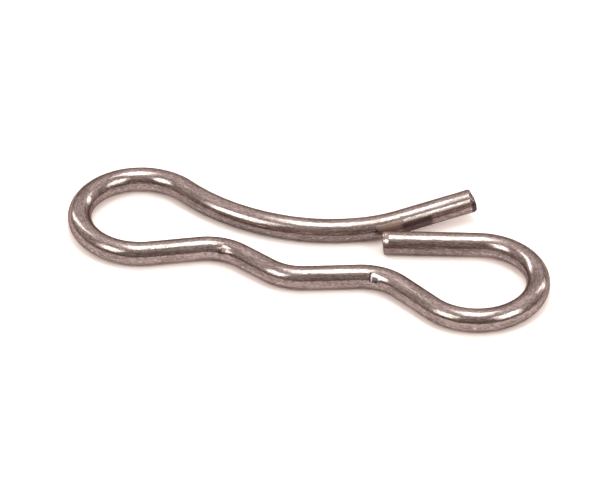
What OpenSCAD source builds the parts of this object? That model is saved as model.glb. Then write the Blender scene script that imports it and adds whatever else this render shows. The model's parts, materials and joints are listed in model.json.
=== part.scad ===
// Locking cotter pin of the safety-pin kind, bent from one piece of round spring wire.
// The lower leg runs from the catch bow over a crest, down into the shaft seat, over a second
// crest and into the spring bow. The long arm springs back from there towards the catch.
// The pin lies flat and unlatched, as it comes out of the bag: the arm rests outside the catch's
// free leg. Its bottom is at z = 0 and its box is centred on the origin. X runs from the spring
// bow's centre to the catch bow's centre.

/* [Wire] */
// Diameter of the wire
wire_d = 2; // [1.2:0.05:2.1]

/* [Cut ends] */
// Width of the worn edge round both cut ends
end_edge = 0.14; // [0.06:0.02:0.3]
// Lean of the free leg's cut face, which leaves the wire's top longer
free_lean = 5; // [0:0.5:8]
// Lean of the arm tip's cut face, which leaves the wire's lower front longer
tip_lean = 5; // [0:0.5:8]
// Depth of the nick in the free leg's cut edge
nick_depth = 0.12; // [0.02:0.01:0.2]
// Length of that nick along the wire
nick_length = 0.45; // [0.2:0.05:0.8]

/* [Tool marks] */
// Length of the two marks that the bending tool left on the crests
mark_length = 1.2; // [0.6:0.1:1.6]
// Depth of the mark on the first crest
first_mark_depth = 0.1; // [0.02:0.01:0.15]
// Depth of the mark on the second crest
second_mark_depth = 0.06; // [0.02:0.01:0.15]

/* [Catch] */
// Straight length of the catch's free leg
catch_leg = 8; // [5:0.1:8.2]
// Inside radius of the catch bow
catch_bow_r = 4.15; // [3.6:0.05:5.2]
// Angle that the catch bow turns through
catch_turn = 225; // [215:0.5:235]

/* [Lower leg] */
// Inside radius of the two crests and of the seat's lower corner
corner_r = 3.4; // [1.5:0.1:4.2]
// Straight rise from the catch bow to the first crest
rise_length = 4; // [2:0.1:7]
// Turn over the first crest
first_crest_turn = 49.5; // [40:0.5:60]
// Straight part of the shaft seat
seat_length = 4.5; // [2:0.1:8]
// Turn at the lower corner of the seat
seat_corner_turn = 42.5; // [32:0.5:52]
// Straight climb out of the seat
climb_length = 3.1; // [1.5:0.1:6]
// Turn over the second crest
second_crest_turn = 48.5; // [38:0.5:58]
// Straight run from the second crest to the spring bow
run_length = 4.3; // [2:0.1:7]

/* [Spring bow] */
// Inside radius of the spring bow
spring_bow_r = 4.15; // [3.6:0.05:5.2]
// Angle that the spring bow turns through
spring_turn = 234.8; // [230:0.1:236]

/* [Arm] */
// Straight wire before each of the arm's curves
arm_lead = 0.3; // [0.2:0.05:1]
// Centreline radius of the arm next to the spring bow
arm_root_r = 17.2; // [14:0.1:22]
// Turn of the arm next to the spring bow
arm_root_turn = 27.3; // [22:0.1:30]
// Centreline radius of the arm's sweep past the catch
arm_sweep_r = 15.5; // [13:0.1:18]
// Turn of the sweep while it still lies flat
arm_flat_turn = 24; // [20:0.5:28]
// Turn of the sweep's end, after the twist
arm_lift_turn = 16; // [12:0.5:24]
// Twist of the wire part way along the sweep, which lifts the tip off the table
arm_twist = 17; // [0:0.5:24]
// Straight length at the arm's tip
tip_length = 6.5; // [3:0.1:9]

/* [Hidden] */
$fn = 96;
wire_r = wire_d / 2;
steel = [0.52, 0.45, 0.42];

// Each straight runs a little way into the bends beside it, which are a hair thicker, so that the
// wire is one solid without a seam
bend_lap = 0.15;
bend_swell = 0.006;
bend_wire_r = wire_r + bend_swell;

// Where the details sit round the wire, from its left side upwards: the longer side of each cut
// face, the nick and the tool marks. Each mark's step lies at a share of its bend.
free_long_side = 90;
tip_long_side = 230;
nick_side = 139;
first_mark_side = 38;
first_mark_share = 0.71;
second_mark_side = 48;
second_mark_share = 0.43;

// Centreline radii of the bends that are given by their inside
catch_r = catch_bow_r + wire_r;
corner_centre_r = corner_r + wire_r;
spring_r = spring_bow_r + wire_r;

// The bend table, from the catch's free end to the arm's tip. A row is one step of the bending:
// the length fed straight, the twist of the wire, the centreline radius, the turn to the left and
// the depth, side and share of a tool mark, where the bend has one.
bends = [
    [catch_leg, 0, catch_r, -catch_turn, 0, 0, 0],
    [rise_length, 0, corner_centre_r, first_crest_turn,
        first_mark_depth, first_mark_side, first_mark_share],
    [seat_length, 0, corner_centre_r, -seat_corner_turn, 0, 0, 0],
    [climb_length, 0, corner_centre_r, second_crest_turn,
        second_mark_depth, second_mark_side, second_mark_share],
    [run_length, 0, spring_r, -spring_turn, 0, 0, 0],
    [arm_lead, 0, arm_root_r, arm_root_turn, 0, 0, 0],
    [arm_lead, 0, arm_sweep_r, arm_flat_turn, 0, 0, 0],
    [arm_lead, arm_twist, arm_sweep_r, arm_lift_turn, 0, 0, 0],
];
function feed(i) = bends[i][0];
function twist(i) = bends[i][1];
function radius(i) = bends[i][2];
function turn(i) = bends[i][3];
function mark_depth(i) = bends[i][4];
function mark_side(i) = bends[i][5];
function mark_share(i) = bends[i][6];
function last() = len(bends) - 1;

// Plan of the wire's centreline, with the free end at [0, 0] and the free leg along +X
function ray(angle) = [cos(angle), sin(angle)];
function heading(i) = i == 0 ? 0 : heading(i - 1) + turn(i - 1);
function side(i, angle) = sign(turn(i)) * radius(i) * ray(angle + 90);
function start(i) = i == 0 ? [0, 0] : centre(i - 1) - side(i - 1, heading(i));
function centre(i) = start(i) + feed(i) * ray(heading(i)) + side(i, heading(i));
catch_centre = centre(0);
spring_centre = centre(4);

// The part's frame: turned until both bow centres lie along X, then centred on the box
axis = catch_centre - spring_centre;
axis_angle = atan2(axis.y, axis.x);

// How far the twisted last bend and the tip reach along the wire and to its left, and the tip's
// place and direction in the part's frame, measured from the spring bow's centre
tip_ahead = arm_sweep_r * sin(arm_lift_turn) + tip_length * cos(arm_lift_turn);
tip_aside = (arm_sweep_r * (1 - cos(arm_lift_turn)) + tip_length * sin(arm_lift_turn)) * cos(arm_twist);
last_angle = heading(last()) - axis_angle;
last_plan = start(last()) + arm_lead * ray(heading(last())) - spring_centre;
last_y = last_plan.y * cos(axis_angle) - last_plan.x * sin(axis_angle);
tip_y = last_y + tip_ahead * sin(last_angle) + tip_aside * cos(last_angle);
tip_angle = last_angle + atan2(sin(arm_lift_turn) * cos(arm_twist), cos(arm_lift_turn));
tip_left_cut = end_edge - wire_r * tan(tip_lean) * cos(tip_long_side);

box_left = -spring_r - bend_wire_r;
box_right = norm(axis) + catch_r + bend_wire_r;
box_front = -max(catch_r, spring_r) - bend_wire_r;
box_back = max(-box_front, tip_y + wire_r * cos(tip_angle) - tip_left_cut * sin(tip_angle));

// A straight piece of wire along +X that laps into the bends beside it
module straight(length) {
    translate([-bend_lap, 0, 0])
        rotate([0, 90, 0])
            cylinder(h = length + 2 * bend_lap, r = wire_r);
}

// A straight piece of wire along +X that laps into a bend. It is cut at x = 0, with a worn edge and
// a lean that leaves one side longer.
module cut_straight(length, lean, long_side) {
    reach = length + 2 * wire_d;
    intersection() {
        translate([-wire_r, 0, 0])
            rotate([0, 90, 0])
                cylinder(h = wire_r + length + bend_lap, r = wire_r);
        rotate([long_side, 0, 0])
            rotate([0, 0, lean])
                rotate([0, 90, 0])
                    rotate_extrude()
                        polygon([
                            [0, 0],
                            [wire_r - end_edge, 0],
                            [wire_r - end_edge + wire_d, wire_d],
                            [wire_r - end_edge + wire_d, reach],
                            [0, reach],
                        ]);
    }
}

// The wedge that a nick takes out of a cut edge at x = 0
module nick() {
    rotate([nick_side, 0, 0])
        translate([0, wire_r - nick_depth, 0])
            rotate([0, 0, atan2(nick_depth, nick_length)])
                translate([-wire_r, 0, -wire_r])
                    cube([wire_d + nick_length, wire_r, wire_d]);
}

// The wedge that a bending tool pressed out of a bend to the left, whose centre is the origin. Its
// flat face follows the bend. It is deepest at its step and runs out towards the free end.
module tool_mark(radius, turn, depth, side, share) {
    inside_r = radius - wire_r * cos(side);
    run_out = asin(mark_length / inside_r);
    drift = depth / cos(side) / sin(run_out);
    rotate([0, 0, share * turn - asin(drift / inside_r) - run_out - 90])
        translate(drift * ray(run_out + 90))
            rotate_extrude(angle = run_out)
                translate([radius, 0])
                    rotate(180 - side)
                        translate([wire_r - depth, -wire_r])
                            square([wire_r, wire_d]);
}

// A bend to the left, or to the right where the turn is negative, with its children at the end
module bend(i) {
    hand = sign(turn(i));
    translate([0, hand * radius(i), 0]) {
        difference() {
            rotate([0, 0, hand > 0 ? -90 : 90 + turn(i)])
                rotate_extrude(angle = abs(turn(i)))
                    translate([radius(i), 0])
                        circle(r = bend_wire_r);
            if (mark_depth(i) > 0)
                tool_mark(radius(i), turn(i), mark_depth(i), mark_side(i), mark_share(i));
        }
        rotate([0, 0, turn(i)])
            translate([0, -hand * radius(i), 0])
                children();
    }
}

// The wire from one row's bend to its tip
module wire_from(i) {
    bend(i)
        if (i < last()) {
            straight(feed(i + 1));
            translate([feed(i + 1), 0, 0])
                rotate([twist(i + 1), 0, 0])
                    wire_from(i + 1);
        } else {
            translate([tip_length, 0, 0])
                rotate([0, 0, 180])
                    cut_straight(tip_length, tip_lean, 180 - tip_long_side);
        }
}

module clip_wire() {
    color(steel)
        translate([-(box_left + box_right) / 2, -(box_front + box_back) / 2, bend_wire_r])
            rotate([0, 0, -axis_angle])
                translate([-spring_centre.x, -spring_centre.y, 0]) {
                    difference() {
                        cut_straight(catch_leg, free_lean, free_long_side);
                        nick();
                    }
                    translate([catch_leg, 0, 0])
                        wire_from(0);
                }
}

clip_wire();
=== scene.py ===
"""Looks of the locking cotter pin: one bent spring wire on a white table, in metres."""

import json
import math

import bpy
import numpy as np
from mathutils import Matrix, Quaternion, Vector, noise

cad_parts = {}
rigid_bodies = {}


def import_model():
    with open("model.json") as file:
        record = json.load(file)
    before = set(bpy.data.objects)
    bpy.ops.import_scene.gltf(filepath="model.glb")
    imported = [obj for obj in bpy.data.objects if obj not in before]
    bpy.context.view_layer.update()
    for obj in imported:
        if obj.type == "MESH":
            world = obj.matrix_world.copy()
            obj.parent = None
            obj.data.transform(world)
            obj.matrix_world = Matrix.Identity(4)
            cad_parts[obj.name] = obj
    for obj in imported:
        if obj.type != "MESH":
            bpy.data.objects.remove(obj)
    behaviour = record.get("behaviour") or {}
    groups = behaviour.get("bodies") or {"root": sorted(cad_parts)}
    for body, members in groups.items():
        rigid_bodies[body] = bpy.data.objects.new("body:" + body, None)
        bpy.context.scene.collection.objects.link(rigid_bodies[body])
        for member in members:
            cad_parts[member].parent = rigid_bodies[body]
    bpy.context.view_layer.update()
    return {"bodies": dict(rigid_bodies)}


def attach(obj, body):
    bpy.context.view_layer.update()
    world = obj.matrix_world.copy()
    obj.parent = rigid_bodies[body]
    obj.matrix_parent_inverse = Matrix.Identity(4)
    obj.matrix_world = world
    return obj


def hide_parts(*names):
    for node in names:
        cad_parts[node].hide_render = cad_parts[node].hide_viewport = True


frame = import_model()
scene = bpy.context.scene

# Sizes that repeat the part's source, in millimetres and degrees
MM = 0.001
WIRE_R = 1.006
START = (5.7541, 0.6287, 1.006)
START_HEADING = 15.775
TIP_LENGTH = 6.5
# A row is one step of the bending: length fed straight, twist, centreline radius, turn to the left
BENDS = [
    (8.0, 0, 5.15, -225),
    (4.0, 0, 4.4, 49.5),
    (4.5, 0, 4.4, -42.5),
    (3.1, 0, 4.4, 48.5),
    (4.3, 0, 5.15, -234.8),
    (0.3, 0, 17.2, 27.3),
    (0.3, 0, 15.5, 24),
    (0.3, 17, 15.5, 16),
]

# The mesh: the points on each ring, and the gap between rings along the wire in millimetres. It is
# smaller within a zone at both cut ends, and from a little before a mark to just past its step.
POINTS_AROUND = 84
RING_GAP = 0.125
END_GAP = 0.05
END_ZONE = 0.6
MARK_GAP = 0.045
MARK_BEFORE = 0.2
MARK_PAST = 0.15
# Edges that turn by more than this stay crisp
CRISP_ANGLE = 24

# The cut ends: width of the worn edge, lean of the cut face in mm per mm and the side that it
# leaves longer, and how rough the shear left the face, with that pattern's scale and its two places
EDGE = 0.14
FREE_END_LEAN = (0.0875, 90)
TIP_LEAN = (0.0875, 230)
END_ROUGH = 0.02
ROUGH_SCALE = 3
FREE_END_SEED = 4.0
TIP_SEED = 9.0
# Rings of an end: turns of the worn edge in degrees, then shares of the cut face's radius
EDGE_TURNS = (18, 36, 54, 72, 90)
FACE_SHARES = (0.9, 0.75, 0.6, 0.4, 0.2)

# Marks that the tools pressed in. Each is deepest at a sharp step and runs out along the wire.
# Places are along the wire from its free end and round it from its left side upwards. The first two
# are the bending tool's flats, whose steps are bowed. The others are nicks at the cut ends, pressed
# evenly over their spread in degrees.
MARKS = [
    {"step": 34.92, "length": -1.3, "angle": 38, "depth": 0.1, "bow": 0.16, "spread": 0},
    {"step": 48.49, "length": -1.4, "angle": 48, "depth": 0.06, "bow": 0.1, "spread": 0},
    {"step": -0.02, "length": 0.48, "angle": 145, "depth": 0.15, "bow": 0, "spread": 34},
    {"step": -0.02, "length": 0.34, "angle": 102, "depth": 0.17, "bow": 0, "spread": 9},
    {"step": 102.45, "length": -0.36, "angle": 104, "depth": 0.17, "bow": 0, "spread": 9},
]
# How far round from its middle a step has its full bow
BOW_ANGLE = 28
# Where a step rises, as shares of its mark's length
STEP_RISE = (-0.02, 0.015)
# How far round from its middle a flat can reach
FLAT_ANGLE = 70

# The photograph's camera
PHOTO_W = 600
TARGET = Vector((-1.43, 0.062, 0.006)) * MM
CAMERA_AZIMUTH = 17.78
CAMERA_ELEVATION = 37.81
CAMERA_DISTANCE = 1.0
SENSOR = 36.0
PX_PER_MM = 11.8507
CLIP_END = 20


def rodrigues(vector, axis, angle):
    """The vector turned about a unit axis by an angle in radians."""
    return (
        vector * math.cos(angle)
        + np.cross(axis, vector) * math.sin(angle)
        + axis * np.dot(axis, vector) * (1 - math.cos(angle))
    )


def segments():
    """The wire as straight and bent pieces: length, bend radius or None, hand and bending plane."""
    pieces = []
    plane = 0
    for feed, twist, radius, turn in BENDS:
        pieces.append((feed, None, 0, 0))
        plane += twist
        pieces.append((radius * math.radians(abs(turn)), radius, math.copysign(1, turn), plane))
    pieces.append((TIP_LENGTH, None, 0, 0))
    return pieces


PIECES = segments()
WIRE_LENGTH = sum(piece[0] for piece in PIECES)


def frames_along(places):
    """Centre, direction, left and up of the wire at each place, which lie in rising order."""
    heading = math.radians(START_HEADING)
    start = np.array(START)
    ahead = np.array([math.cos(heading), math.sin(heading), 0.0])
    left = np.array([-math.sin(heading), math.cos(heading), 0.0])
    up = np.array([0.0, 0.0, 1.0])
    out = []
    begin = 0.0
    for k, (length, radius, hand, plane) in enumerate(PIECES):
        last = k == len(PIECES) - 1
        inside = [s for s in places if begin <= s < begin + length or (last and s >= begin)]
        inward = hand * (left * math.cos(math.radians(plane)) + up * math.sin(math.radians(plane)))
        axis = np.cross(ahead, inward)
        for s in inside + [begin + length]:
            if radius is None:
                here = (start + (s - begin) * ahead, ahead, left, up)
            else:
                angle = (s - begin) / radius
                step = radius * (math.sin(angle) * ahead + (1 - math.cos(angle)) * inward)
                here = (start + step, *(rodrigues(v, axis, angle) for v in (ahead, left, up)))
            out.append(here)
        start, ahead, left, up = out.pop()
        begin += length
    return [np.array(column) for column in zip(*out)]


def ring_places():
    """Places of the rings along the wire, between the roots of both worn edges."""
    places = [EDGE]
    while places[-1] < WIRE_LENGTH - EDGE:
        s = places[-1]
        gap = RING_GAP
        if min(s, WIRE_LENGTH - s) < END_ZONE:
            gap = END_GAP
        for mark in MARKS:
            if mark["step"] + mark["length"] - MARK_BEFORE < s < mark["step"] + MARK_PAST:
                gap = MARK_GAP
        places.append(s + gap)
    places[-1] = WIRE_LENGTH - EDGE
    return places


def smooth(low, high, x):
    """A smooth rise from 0 at low to 1 at high."""
    t = np.clip((x - low) / (high - low), 0, 1)
    return t * t * (3 - 2 * t)


def radius_at(s, angle):
    """Radius of the marked wire, for grids of places along it and angles round it."""
    radius = np.full(s.shape, WIRE_R)
    for mark in MARKS:
        off = (np.degrees(angle) - mark["angle"] + 180) % 360 - 180
        edge = mark["step"] - mark["bow"] * (off / BOW_ANGLE) ** 2
        inside = (s - edge) / mark["length"]
        depth = mark["depth"] * (1 - inside)
        if mark["spread"]:
            floor = WIRE_R - depth * (1 - smooth(mark["spread"], 2 * mark["spread"], abs(off)))
        else:
            floor = (WIRE_R - depth) / np.cos(np.radians(np.clip(off, -FLAT_ANGLE, FLAT_ANGLE)))
        pressed = smooth(*STEP_RISE, inside) * (inside < 1)
        radius = radius - pressed * np.maximum(radius - floor, 0)
    return radius


def end_profile():
    """The cut end from the root of its worn edge to its middle: reach past the root, and radius."""
    inner = WIRE_R - EDGE
    turns = [math.radians(turn) for turn in EDGE_TURNS]
    worn = [(EDGE * math.sin(turn), inner + EDGE * math.cos(turn)) for turn in turns]
    return worn + [(EDGE, inner * share) for share in FACE_SHARES]


def ring(radius, centre, left, up, angles):
    """Points of one ring in millimetres."""
    side = np.cos(angles)[:, None] * left + np.sin(angles)[:, None] * up
    return centre + side * np.broadcast_to(radius, angles.shape)[:, None]


def end_rings(row, outwards, lean, seed, angles):
    """Rings from the root of the worn edge, which is the row given, to the middle of the cut face."""
    root, centre, ahead, left, up, radii = row
    slope, side = lean
    rings = []
    for reach, r in end_profile():
        k = ROUGH_SCALE * r
        spots = [Vector((k * math.cos(a), k * math.sin(a), seed)) for a in angles]
        rough = np.array([noise.noise(spot) for spot in spots])
        tilt = slope * r * np.cos(angles - math.radians(side)) + END_ROUGH * rough
        push = outwards * (reach + tilt * reach / EDGE)
        scaled = r * radii / WIRE_R
        points = ring(scaled, centre, left, up, angles) + push[:, None] * ahead
        rings.append((points, root + outwards * reach, scaled))
    return rings


def straightened(s, radius, angles):
    """One ring of the wire as it was before it was bent: along it, left and up."""
    r = np.broadcast_to(radius, angles.shape)
    return np.column_stack([np.full(len(angles), s), r * np.cos(angles), r * np.sin(angles)])


def side_faces(ring_count):
    """Faces between neighbouring rings."""
    n = POINTS_AROUND
    faces = []
    for k in range(ring_count - 1):
        for j in range(n):
            a = k * n + j
            b = k * n + (j + 1) % n
            faces.append((a, b, b + n, a + n))
    return faces


def end_faces(first, middle, outwards):
    """Faces between an end's smallest ring and the point in its middle."""
    faces = []
    for j in range(POINTS_AROUND):
        a = first + j
        b = first + (j + 1) % POINTS_AROUND
        faces.append((a, b, middle) if outwards > 0 else (b, a, middle))
    return faces


def wire_mesh():
    """The wire's points, faces and straightened-out coordinates."""
    angles = np.linspace(0, 2 * math.pi, POINTS_AROUND, endpoint=False)
    places = ring_places()
    radii = radius_at(*np.meshgrid(places, angles, indexing="ij"))
    rows = list(zip(places, *frames_along(places), radii))
    rings = end_rings(rows[0], -1, FREE_END_LEAN, FREE_END_SEED, angles)[::-1]
    rings += [(ring(r, centre, left, up, angles), s, r) for s, centre, ahead, left, up, r in rows]
    rings += end_rings(rows[-1], 1, TIP_LEAN, TIP_SEED, angles)

    points = np.concatenate([points for points, s, r in rings])
    unbent = np.concatenate([straightened(s, r, angles) for points, s, r in rings])
    faces = side_faces(len(rings))
    for first, outwards in ((0, -1), (len(points) - POINTS_AROUND, 1)):
        faces += end_faces(first, len(points), outwards)
        last_ring = slice(first, first + POINTS_AROUND)
        points = np.vstack([points, points[last_ring].mean(0)])
        unbent = np.vstack([unbent, unbent[last_ring].mean(0)])
    return points, faces, unbent


def build_wire():
    """The wire as one object, with its straightened-out coordinates for the material."""
    points, faces, unbent = wire_mesh()
    mesh = bpy.data.meshes.new("pin_wire")
    mesh.from_pydata([tuple(p) for p in points * MM], [], faces)
    mesh.validate()
    attribute = mesh.attributes.new("unbent", "FLOAT_VECTOR", "POINT")
    attribute.data.foreach_set("vector", unbent.astype(np.float32).ravel())
    mesh.shade_smooth()
    mesh.set_sharp_from_angle(angle=math.radians(CRISP_ANGLE))
    wire = bpy.data.objects.new("pin_wire", mesh)
    scene.collection.objects.link(wire)
    return wire


# Patterns of the steel, over millimetres of the straightened wire: how each is stretched along the
# wire, to its left and upwards, then scale, detail and roughness
DRAW_LINES = ((0.14, 3.0, 3.0), 1.8, 3.0, 0.6)
GRAIN = ((0.25, 1.0, 1.0), 10.0, 3.0, 0.7)
FILM = ((0.35, 1.0, 1.0), 1.1, 2.0, 0.5)
PITS = ((1.0, 1.0, 1.0), 4.2, 1.0, 0.5)
SPECKS = ((0.6, 1.0, 1.0), 5.0, 2.0, 0.6)
SHEAR = ((1.0, 0.4, 1.6), 6.0, 3.0, 0.65)

# The steel's film: its light and dark tone, the shares that its uneven thickness, the draw lines
# and the grain have in it, and the range of their sum from light to dark
STEEL_LIGHT = (0.595, 0.438, 0.41, 1)
STEEL_DARK = (0.285, 0.202, 0.18, 1)
FILM_SHARE = 0.22
LINES_SHARE = 0.22
GRAIN_SHARE = 0.56
FILM_RANGE = (0.41, 0.59)
# Its tint where it is seen at a low angle, and its roughness over the range of the grain
RIM_TINT = (0.55, 0.47, 0.45, 1)
GRAIN_RANGE = (0.3, 0.7)
STEEL_ROUGHNESS = (0.12, 0.2)
# The pits: where their pattern makes one, their tone and how strong it is
PIT_RANGE = (0.64, 0.76)
PIT_COLOUR = (0.2, 0.14, 0.12, 1)
PIT_STRENGTH = 0.5
# Height of the surface: the parts that the draw lines, the grain, the pits and the torn metal have
# in it, and its measure in metres
LINES_HEIGHT = 0.8
GRAIN_HEIGHT = 0.5
PIT_HEIGHT = 0.6
TORN_HEIGHT = 4.0
BUMP_DISTANCE = 0.6e-5

# The scuffed line along the wire's front: its height over the wire's centre and how far it fades
# out, where its specks are, and their tone and strength
SCUFF_HEIGHT = (-0.22, -0.02)
SCUFF_FADE = 0.08
SCUFF_SPECKS = (0.53, 0.66)
SCUFF_COLOUR = (0.95, 0.86, 0.86, 1)
SCUFF_STRENGTH = 0.6

# Patches of colour: the side of the wire they lie on, 1 for left and -1 for right, where each begins
# and ends along the wire and in height over its centre, how far it fades out, its tone and its
# roughness. A matt tan patch and a dark one lie on the arm's front next to the catch. The others are
# painted shade: a painted shadow of the first tool mark's step, and painted shade in both marks'
# hollows.
PATCHES_AND_PAINTED_SHADE = [
    {
        "side": -1,
        "along": (93.8, 95.8),
        "height": (0.0, 0.62),
        "fade": (0.3, 0.15),
        "colour": (0.33, 0.195, 0.155, 1),
        "matt": 0.6,
    },
    {
        "side": -1,
        "along": (95.95, 98.3),
        "height": (-0.75, 0.4),
        "fade": (0.45, 0.15),
        "colour": (0.115, 0.072, 0.075, 1),
        "matt": 0.32,
    },
    # Painted shadow of the first tool mark's step
    {
        "side": 1,
        "along": (34.9, 34.97),
        "height": (0.3, 0.84),
        "fade": (0.05, 0.1),
        "colour": (0.02, 0.015, 0.015, 1),
        "matt": 0.3,
    },
    # Painted shade in the first tool mark's hollow
    {
        "side": 1,
        "along": (34.15, 34.6),
        "height": (0.26, 0.54),
        "fade": (0.16, 0.09),
        "colour": (0.03, 0.02, 0.023, 1),
        "matt": 0.3,
    },
    # Painted shade in the second tool mark's hollow
    {
        "side": 1,
        "along": (48.1, 48.8),
        "height": (0.34, 0.66),
        "fade": (0.16, 0.1),
        "colour": (0.12, 0.07, 0.058, 1),
        "matt": 0.3,
    },
]
PATCH_STRENGTH = 0.88
# How far from the wire's middle plane a patch reaches its full strength
PATCH_SIDE = 0.3

# Torn metal at the cut ends, darker than the drawn steel; round the tip it is also a painted dark
# reflection, left off at the top where the tip's glint is: where it begins at the tip, its upper edge
# there, and the raggedness of that edge, where it ends at the free end, its two tones, their range
# and its roughness
TORN_BEGIN = (WIRE_LENGTH - 0.46, WIRE_LENGTH - 0.34)
TORN_TOP = (1.0, 0.86)
TORN_RAGGED = 0.3
TORN_END = (0.03, 0.0)
CUT_AND_SHADE_COLOUR = (0.085, 0.057, 0.052, 1)
CUT_LIGHT = (0.36, 0.27, 0.25, 1)
CUT_RANGE = (0.46, 0.7)
CUT_ROUGHNESS = 0.35


class Nodes:
    """Short helper for node trees."""

    def __init__(self, tree):
        self.tree = tree
        tree.nodes.clear()

    def add(self, kind, inputs=None, **settings):
        node = self.tree.nodes.new(kind)
        for name, value in settings.items():
            setattr(node, name, value)
        for name, value in (inputs or {}).items():
            if isinstance(value, bpy.types.NodeSocket):
                self.tree.links.new(value, node.inputs[name])
            else:
                node.inputs[name].default_value = value
        return node

    def math(self, operation, a, b):
        return self.add("ShaderNodeMath", {0: a, 1: b}, operation=operation).outputs[0]

    def plus(self, a, b):
        return self.math("ADD", a, b)

    def times(self, a, b):
        return self.math("MULTIPLY", a, b)

    def vector(self, operation, a, b):
        """The node, whose result is a vector or a number."""
        return self.add("ShaderNodeVectorMath", {0: a, 1: b}, operation=operation)

    def pattern(self, places, kind):
        """A noise, from its stretch, scale, detail and roughness."""
        stretch, scale, detail, roughness = kind
        stretched = self.add("ShaderNodeMapping", {"Vector": places, "Scale": stretch}).outputs[0]
        inputs = {"Vector": stretched, "Scale": scale, "Detail": detail, "Roughness": roughness}
        return self.add("ShaderNodeTexNoise", inputs).outputs[0]

    def ramp(self, value, low, high, ends=(0.0, 1.0)):
        """A smooth change between two ends, from low to high."""
        return self.map(value, low, high, ends, "SMOOTHSTEP")

    def map(self, value, low, high, ends, kind="LINEAR"):
        """An even change between two ends, from low to high."""
        inputs = {"Value": value, "From Min": low, "From Max": high}
        inputs |= {"To Min": ends[0], "To Max": ends[1]}
        return self.add("ShaderNodeMapRange", inputs, interpolation_type=kind).outputs[0]

    def span(self, value, low, high, soft):
        """One between low and high, fading out over soft on both sides."""
        return self.times(self.ramp(value, low - soft, low), self.ramp(value, high + soft, high))

    def between(self, factor, a, b):
        """A number between a and b."""
        return self.add("ShaderNodeMix", {0: factor, 2: a, 3: b}, data_type="FLOAT").outputs[0]

    def mix(self, factor, a, b):
        """A colour between a and b."""
        return self.add("ShaderNodeMix", {0: factor, 6: a, 7: b}, data_type="RGBA").outputs[2]


def patched_and_shaded(n, colour, roughness, place, uneven):
    """Colour and roughness with all patches, whose edges are ragged; those at the tool marks are
    painted shade.
    """
    along, left, up = place
    for patch in PATCHES_AND_PAINTED_SHADE:
        fade_along, fade_up = patch["fade"]
        area = n.times(n.ramp(left, 0.0, PATCH_SIDE * patch["side"]), PATCH_STRENGTH)
        ragged = n.plus(along, n.times(uneven, fade_along))
        area = n.times(area, n.span(ragged, *patch["along"], fade_along))
        ragged = n.plus(up, n.times(uneven, fade_up))
        area = n.times(area, n.span(ragged, *patch["height"], fade_up))
        colour = n.mix(area, colour, patch["colour"])
        roughness = n.between(area, roughness, patch["matt"])
    return colour, roughness


def torn_metal_and_painted_shade(n, place, uneven):
    """One where the metal is torn, which round the tip is painted dark reflection too: round the tip
    but for its top, and on the free end's face.
    """
    below = n.ramp(n.plus(place["Z"], n.times(uneven, TORN_RAGGED)), *TORN_TOP)
    tip = n.times(n.ramp(place["X"], *TORN_BEGIN), below)
    return n.plus(tip, n.ramp(place["X"], *TORN_END))


def steel():
    """Drawn spring steel: lines along the wire, fine pits and a brownish film of uneven thickness,
    with painted shade at the tool marks and round the tip.
    """
    material = bpy.data.materials.new("drawn_steel")
    material.use_nodes = True
    n = Nodes(material.node_tree)
    attribute = n.add("ShaderNodeAttribute", attribute_name="unbent", attribute_type="GEOMETRY")
    unbent = attribute.outputs["Vector"]
    place = n.add("ShaderNodeSeparateXYZ", {0: unbent}).outputs
    lines = n.pattern(unbent, DRAW_LINES)
    grain = n.pattern(unbent, GRAIN)
    specks = n.pattern(unbent, SPECKS)
    shear = n.pattern(unbent, SHEAR)
    pits = n.ramp(n.pattern(unbent, PITS), *PIT_RANGE)
    uneven = n.times(n.math("SUBTRACT", specks, 0.5), 2.0)

    shade = n.plus(n.times(n.pattern(unbent, FILM), FILM_SHARE), n.times(lines, LINES_SHARE))
    shade = n.ramp(n.plus(shade, n.times(grain, GRAIN_SHARE)), *FILM_RANGE)
    colour = n.mix(shade, STEEL_LIGHT, STEEL_DARK)
    colour = n.mix(n.times(pits, PIT_STRENGTH), colour, PIT_COLOUR)
    roughness = n.map(grain, *GRAIN_RANGE, STEEL_ROUGHNESS)
    scuff = n.times(n.span(place["Z"], *SCUFF_HEIGHT, SCUFF_FADE), n.ramp(specks, *SCUFF_SPECKS))
    colour = n.mix(n.times(scuff, SCUFF_STRENGTH), colour, SCUFF_COLOUR)
    # Patches; those at the tool marks are painted shade
    colour, roughness = patched_and_shaded(n, colour, roughness, place, uneven)
    # Torn metal at the cut ends; round the tip also a painted dark reflection that spares the top
    torn_and_shaded = torn_metal_and_painted_shade(n, place, uneven)
    colour = n.mix(torn_and_shaded, colour, n.mix(n.ramp(shear, *CUT_RANGE), CUT_AND_SHADE_COLOUR, CUT_LIGHT))
    roughness = n.between(torn_and_shaded, roughness, CUT_ROUGHNESS)

    height = n.plus(n.times(lines, LINES_HEIGHT), n.times(grain, GRAIN_HEIGHT))
    height = n.math("SUBTRACT", height, n.times(pits, PIT_HEIGHT))
    height = n.plus(height, n.times(n.times(torn_and_shaded, shear), TORN_HEIGHT))
    bump = n.add("ShaderNodeBump", {"Height": height, "Strength": 1.0, "Distance": BUMP_DISTANCE})
    shader = n.add(
        "ShaderNodeBsdfPrincipled",
        {
            "Base Color": colour,
            "Metallic": 1.0,
            "Roughness": roughness,
            "Specular Tint": RIM_TINT,
            "Normal": bump.outputs[0],
        },
    )
    n.add("ShaderNodeOutputMaterial", {"Surface": shader.outputs[0]})
    return material


BLACK = (0, 0, 0, 1)
WHITE = (1, 1, 1, 1)

# The table: its colour, how much of its white the steel mirrors, and its colour for the camera,
# which shows it as white as the photograph does, with the wire's shadow
TABLE_COLOUR = (0.46, 0.41, 0.398, 1)
TABLE_MIRRORED = 0.36
TABLE_SHOWN = (1.5, 1.24, 1.17, 1)
TABLE_SIZE = 6.0
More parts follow.
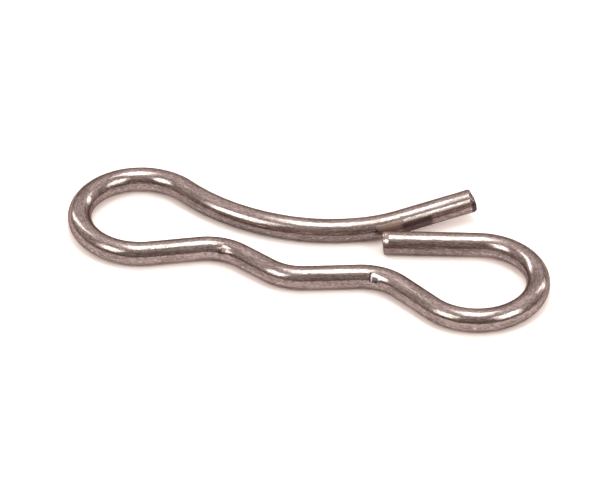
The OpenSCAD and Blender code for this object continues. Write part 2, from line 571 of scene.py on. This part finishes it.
# Painted shade on the table between the legs, which the steel mirrors: the middle and half size of
# that ellipse in millimetres, the share of the table's brightness that is left, and the shares of its
# size between which it grows
SHADED_MIDDLE = (0.0, -1.5)
SHADED_HALF = (18.0, 4.2)
SHADED_LEVEL = 0.7
SHADED_EDGE = (0.75, 1.15)


def painted_table_shade(n):
    """Painted shade on the table: the share of its brightness that is left at each place."""
    place = n.add("ShaderNodeNewGeometry").outputs["Position"]
    middle = tuple(MM * c for c in SHADED_MIDDLE)
    offset = n.vector("SUBTRACT", place, (*middle, 0)).outputs[0]
    scale = tuple(1 / (MM * half) for half in SHADED_HALF)
    ratio = n.vector("MULTIPLY", offset, (*scale, 0)).outputs[0]
    reach = n.add("ShaderNodeVectorMath", {0: ratio}, operation="LENGTH").outputs["Value"]
    return n.ramp(reach, *SHADED_EDGE, (SHADED_LEVEL, 1.0))


def white_table():
    """Matt white, with a colour of its own for the camera and added white for the steel."""
    material = bpy.data.materials.new("white_table")
    material.use_nodes = True
    n = Nodes(material.node_tree)
    # Painted shade between the legs, on the table's own colour and on its added white
    level = painted_table_shade(n)
    path = n.add("ShaderNodeLightPath").outputs
    mirrored = n.times(n.plus(path["Is Glossy Ray"], path["Is Transmission Ray"]), TABLE_MIRRORED)
    matt = n.add("ShaderNodeBsdfDiffuse", {"Color": n.mix(level, BLACK, TABLE_COLOUR)})
    fill = n.add("ShaderNodeEmission", {"Strength": n.times(mirrored, level)})
    unseen = n.add("ShaderNodeAddShader", {0: matt.outputs[0], 1: fill.outputs[0]}).outputs[0]
    white = n.add("ShaderNodeBsdfDiffuse", {"Color": TABLE_SHOWN}).outputs[0]
    shown = n.add("ShaderNodeMixShader", {0: path["Is Camera Ray"], 1: unseen, 2: white})
    n.add("ShaderNodeOutputMaterial", {"Surface": shown.outputs[0]})
    return material


def table():
    """The table under the pin."""
    mesh = bpy.data.meshes.new("table")
    half = TABLE_SIZE / 2
    corners = [(-half, -half, 0), (half, -half, 0), (half, half, 0), (-half, half, 0)]
    mesh.from_pydata(corners, [], [(0, 1, 2, 3)])
    mesh.materials.append(white_table())
    top = bpy.data.objects.new("table", mesh)
    scene.collection.objects.link(top)


def direction(azimuth, elevation):
    """Unit vector for an azimuth from the camera's right, counter-clockwise, and an elevation."""
    turn = math.radians(azimuth + CAMERA_AZIMUTH)
    rise = math.radians(elevation)
    return Vector((math.cos(turn) * math.cos(rise), math.sin(turn) * math.cos(rise), math.sin(rise)))


# Soft lights as they show in the steel
LIGHT_DISTANCE = 1.2
LIGHT_COLOUR = (0.82, 1.0, 1.0)
# Azimuth from the camera's right, elevation, width, height, roll and brightness
LIGHTS = {
    "top_softbox": (86, 84, 28, 50, 0, 3.6),
    "back_left_softbox": (135.7, 33, 17, 50, 0, 3.4),
    "back_right_softbox": (41, 25, 14, 42, -16, 3.4),
    "front_left_softbox": (-143.6, 41, 37, 37, 0, 4.0),
    "front_right_softbox": (-35, 38.5, 42, 42, 0, 4.0),
}
# Where a lamp's face is dark and where it is bright, from its middle, as shares of its width
FACE_FADE = (0.5, 0.2)


def soft_face(light):
    """A lamp face that is brightest in its middle and fades out towards its edges."""
    light.use_nodes = True
    n = Nodes(light.node_tree)
    face = n.add("ShaderNodeNewGeometry").outputs["Parametric"]
    middle = n.vector("SUBTRACT", face, (0.5, 0.5, 0)).outputs[0]
    places = n.add("ShaderNodeSeparateXYZ", {0: middle}).outputs
    fades = [n.ramp(n.math("ABSOLUTE", places[axis], 0.0), *FACE_FADE) for axis in ("X", "Y")]
    shine = n.add("ShaderNodeEmission", {"Strength": n.times(*fades)})
    n.add("ShaderNodeOutputLight", {"Surface": shine.outputs[0]})


def lights():
    """The lamps, which all face the pin."""
    for name, (azimuth, elevation, width, height, roll, radiance) in LIGHTS.items():
        light = bpy.data.lights.new(name, "AREA")
        light.shape = "RECTANGLE"
        light.size = 2 * LIGHT_DISTANCE * math.tan(math.radians(width / 2))
        light.size_y = 2 * LIGHT_DISTANCE * math.tan(math.radians(height / 2))
        light.energy = radiance * math.pi * light.size * light.size_y
        light.color = LIGHT_COLOUR
        soft_face(light)
        lamp = bpy.data.objects.new(name, light)
        towards = direction(azimuth, elevation)
        lamp.location = towards * LIGHT_DISTANCE
        turn = Quaternion(towards, math.radians(roll))
        lamp.rotation_euler = (turn @ (-towards).to_track_quat("-Z", "Y")).to_euler()
        scene.collection.objects.link(lamp)


# Brightness of the room as the steel mirrors it, at table height and overhead, in front, where
# the camera is, and at the back, and how far from the middle each counts in full
ROOM_FRONT = (0.16, 0.48)
ROOM_BACK = (0.28, 1.04)
ROOM_DEPTH = 0.8
# Its colour low in front, and the heights between which that turns to white
WARM_COLOUR = (1.12, 1.0, 0.9, 1)
WARM_HEIGHT = (0.3, 0.85)


def world():
    """The room around the pin, which the camera sees as plain white."""
    surroundings = bpy.data.worlds.new("white_room")
    scene.world = surroundings
    surroundings.use_nodes = True
    n = Nodes(surroundings.node_tree)
    ray = n.add("ShaderNodeTexCoord").outputs["Generated"]
    depth = n.vector("DOT_PRODUCT", ray, tuple(direction(90, 0))).outputs["Value"]
    height = n.add("ShaderNodeSeparateXYZ", {0: ray}).outputs["Z"]
    back = n.ramp(depth, -ROOM_DEPTH, ROOM_DEPTH)
    levels = [n.map(height, 0.0, 1.0, ends) for ends in (ROOM_FRONT, ROOM_BACK)]
    seen = n.add("ShaderNodeLightPath").outputs["Is Camera Ray"]
    level = n.between(seen, n.between(back, *levels), 1.0)
    plain = n.math("MAXIMUM", n.math("MAXIMUM", back, seen), n.ramp(height, *WARM_HEIGHT))
    colour = n.mix(plain, WARM_COLOUR, WHITE)
    background = n.add("ShaderNodeBackground", {"Color": colour, "Strength": level})
    n.add("ShaderNodeOutputWorld", {"Surface": background.outputs[0]})


def camera():
    """The photograph's camera."""
    data = bpy.data.cameras.new("photo_camera")
    data.sensor_width = SENSOR
    data.lens = SENSOR * CAMERA_DISTANCE * PX_PER_MM / MM / PHOTO_W
    data.clip_end = CLIP_END
    obj = bpy.data.objects.new("photo_camera", data)
    towards = direction(-90, CAMERA_ELEVATION)
    obj.location = TARGET + towards * CAMERA_DISTANCE
    obj.rotation_euler = (-towards).to_track_quat("-Z", "Y").to_euler()
    scene.collection.objects.link(obj)
    scene.camera = obj


camera()
world()
lights()
table()
wire = build_wire()
wire.data.materials.append(steel())
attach(wire, list(frame["bodies"])[0])
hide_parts("clip_wire")

scene.view_settings.view_transform = "Standard"
